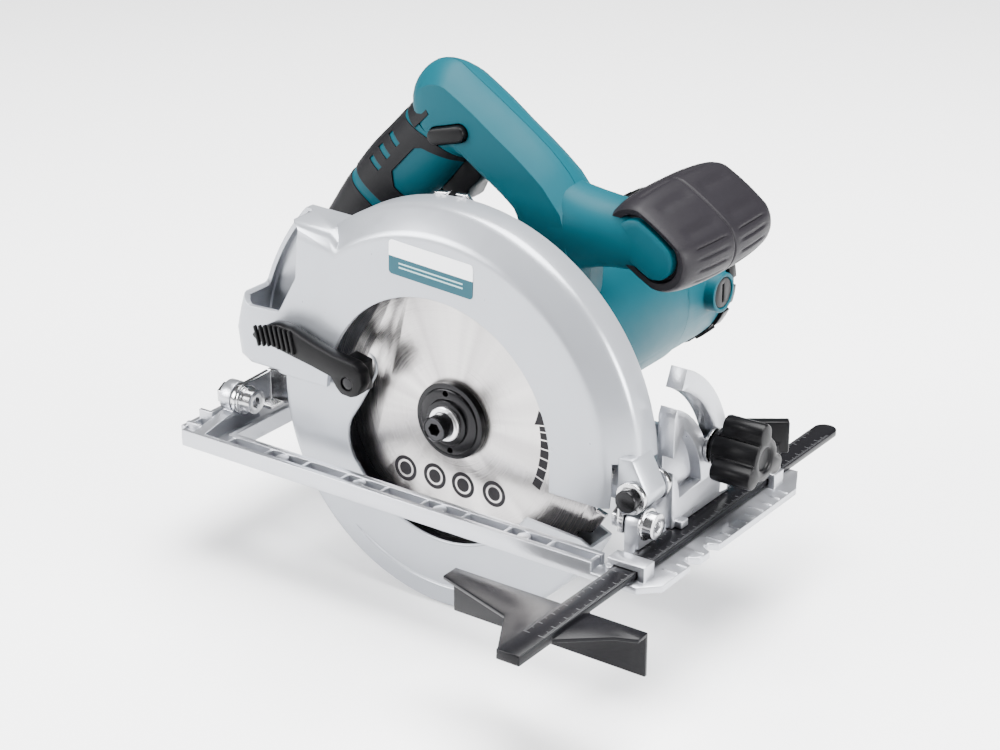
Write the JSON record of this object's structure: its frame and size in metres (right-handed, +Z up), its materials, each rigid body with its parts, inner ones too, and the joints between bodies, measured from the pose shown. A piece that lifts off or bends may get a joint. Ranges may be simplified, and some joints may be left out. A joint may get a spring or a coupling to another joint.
{
  "type": "circular saw",
  "caption": "Hand-held circular saw with tilting cast base, swinging blade guard, depth arc, D-shaped main handle, barrel front grip and sliding rip fence.",
  "frame": {"origin": "point on the sole of the base, in line with the arbor, 60 mm from the blade's mid-plane towards the motor", "axes": "+X is the cutting direction, +Y runs from the blade towards the motor, +Z is up from the sole"},
  "size_m": [0.312, 0.3173, 0.2635],
  "materials": {
    "cast_aluminium": "satin, fine as-cast grain",
    "guard_silver": "satin silver paint",
    "zinc_steel": "bright zinc plate",
    "blade_steel": "ground, radial brushing",
    "dark_steel": "black oxide",
    "machined_steel": "turned",
    "black_paint": "gloss black paint",
    "teal_plastic": "moulded, light texture",
    "black_plastic": "moulded, light texture",
    "grey_rubber": "soft overmould",
    "black_rubber": "soft overmould",
    "white_label": "printed film",
    "bronze": "sintered",
    "copper": "enamelled wire",
    "carbon": "pressed carbon",
    "lamination": "stacked steel"
  },
  "bodies": {
    "base": {"base_casting": "cast_aluminium", "bevel_scale": "white_label", "front_pivot_bolt": "zinc_steel", "rear_pivot_bolt": "zinc_steel"},
    "bevel_frame": {"front_bracket": "zinc_steel", "depth_guide": "zinc_steel", "depth_pin": "dark_steel", "bevel_stud": "zinc_steel", "bevel_washer": "zinc_steel"},
    "bevel_clamp": {"bevel_knob": "black_plastic"},
    "saw_body": {"upper_guard": "guard_silver", "gear_housing": "cast_aluminium", "motor_housing": "teal_plastic", "motor_end_cap": "black_plastic", "handle_right": "teal_plastic", "handle_left": "teal_plastic", "grip_overmould": "black_rubber", "front_grip_core": "teal_plastic", "front_grip_rubber": "grey_rubber", "brush_caps": "black_plastic", "brush_holders": "bronze", "carbon_brushes": "carbon", "stator_core": "lamination", "field_coils": "copper", "arbor_bearing": "machined_steel", "spindle_bush": "bronze", "armature_front_bearing": "machined_steel", "armature_rear_bearing": "machined_steel", "bearing_retainer": "machined_steel", "guard_circlip": "dark_steel", "switch_box": "black_plastic", "cord_inlet": "black_rubber", "rating_label": "white_label", "handle_screws": "dark_steel", "housing_screws": "dark_steel", "retainer_screws": "dark_steel", "guard_bumper": "black_rubber", "depth_bolt": "zinc_steel", "trigger_spring": "machined_steel"},
    "depth_clamp": {"depth_lever": "black_plastic"},
    "swing_guard": {"lower_guard": "guard_silver", "retract_lever": "black_plastic", "lever_screw": "dark_steel", "guard_spring": "dark_steel"},
    "arbor": {"output_spindle": "machined_steel", "drive_gear": "machined_steel", "inner_flange": "machined_steel", "saw_blade": "blade_steel", "outer_flange": "dark_steel", "arbor_bolt": "dark_steel"},
    "armature": {"armature_shaft": "machined_steel", "armature_core": "lamination", "commutator": "copper", "cooling_fan": "black_plastic"},
    "switch_trigger": {"trigger": "black_plastic"},
    "lock_off": {"lock_off_button": "black_plastic"},
    "arbor_lock": {"spindle_lock": "black_plastic"},
    "fence": {"rip_fence": "black_paint"},
    "fence_clamp": {"fence_screw": "black_plastic"}
  },
  "joints": [
    {"name": "bevel_tilt", "type": "hinge", "parent": "base", "child": "bevel_frame", "pos_m": [0, -0.068, 0.02], "axis": [1, 0, 0], "range_deg": [0, 45]},
    {"name": "bevel_clamp_turn", "type": "hinge", "parent": "bevel_frame", "child": "bevel_clamp", "pos_m": [0.13, -0.01127, 0.03953], "axis": [1, 0, 0], "range_deg": [-60, 60]},
    {"name": "depth_pivot", "type": "hinge", "parent": "bevel_frame", "child": "saw_body", "pos_m": [0.113, -0.06, 0.034], "axis": [0, 1, 0], "range_deg": [0, 38]},
    {"name": "depth_clamp_turn", "type": "hinge", "parent": "saw_body", "child": "depth_clamp", "pos_m": [-0.05459, -0.04, 0.04572], "axis": [0, 1, 0], "range_deg": [0, 50]},
    {"name": "blade_spin", "type": "hinge", "parent": "saw_body", "child": "arbor", "pos_m": [0, -0.06, 0.04], "axis": [0, 1, 0], "continuous": true},
    {"name": "armature_spin", "type": "hinge", "parent": "saw_body", "child": "armature", "pos_m": [0.00598, 0.04, 0.0653], "axis": [0, 1, 0], "continuous": true},
    {"name": "guard_swing", "type": "hinge", "parent": "saw_body", "child": "swing_guard", "pos_m": [0, -0.06, 0.04], "axis": [0, 1, 0], "range_deg": [0, 130], "stiffness_Nm_per_rad": 0.12, "springref_deg": -126.05},
    {"name": "trigger_pull", "type": "hinge", "parent": "saw_body", "child": "switch_trigger", "pos_m": [-0.02614, -0.005, 0.1629], "axis": [0, 1, 0], "range_deg": [0, 9], "stiffness_Nm_per_rad": 0.9, "springref_deg": -17.19},
    {"name": "lock_off_press", "type": "slide", "parent": "saw_body", "child": "lock_off", "axis": [0, 1, 0], "range_m": [0, 0.0035], "stiffness_N_per_m": 500, "springref_m": -0.003},
    {"name": "arbor_lock_press", "type": "slide", "parent": "saw_body", "child": "arbor_lock", "axis": [-1, 0, 0], "range_m": [0, 0.003], "stiffness_N_per_m": 500, "springref_m": -0.003},
    {"name": "fence_slide", "type": "slide", "parent": "base", "child": "fence", "axis": [0, 1, 0], "range_m": [-0.06, 0.028]},
    {"name": "fence_clamp_turn", "type": "hinge", "parent": "base", "child": "fence_clamp", "pos_m": [0.12275, 0.0365, 0.02], "axis": [0, 0, 1], "range_deg": [-90, 90]}
  ],
  "couplings": [
    {"joint": "armature_spin", "follows": "blade_spin", "ratio": -4.2}
  ]
}
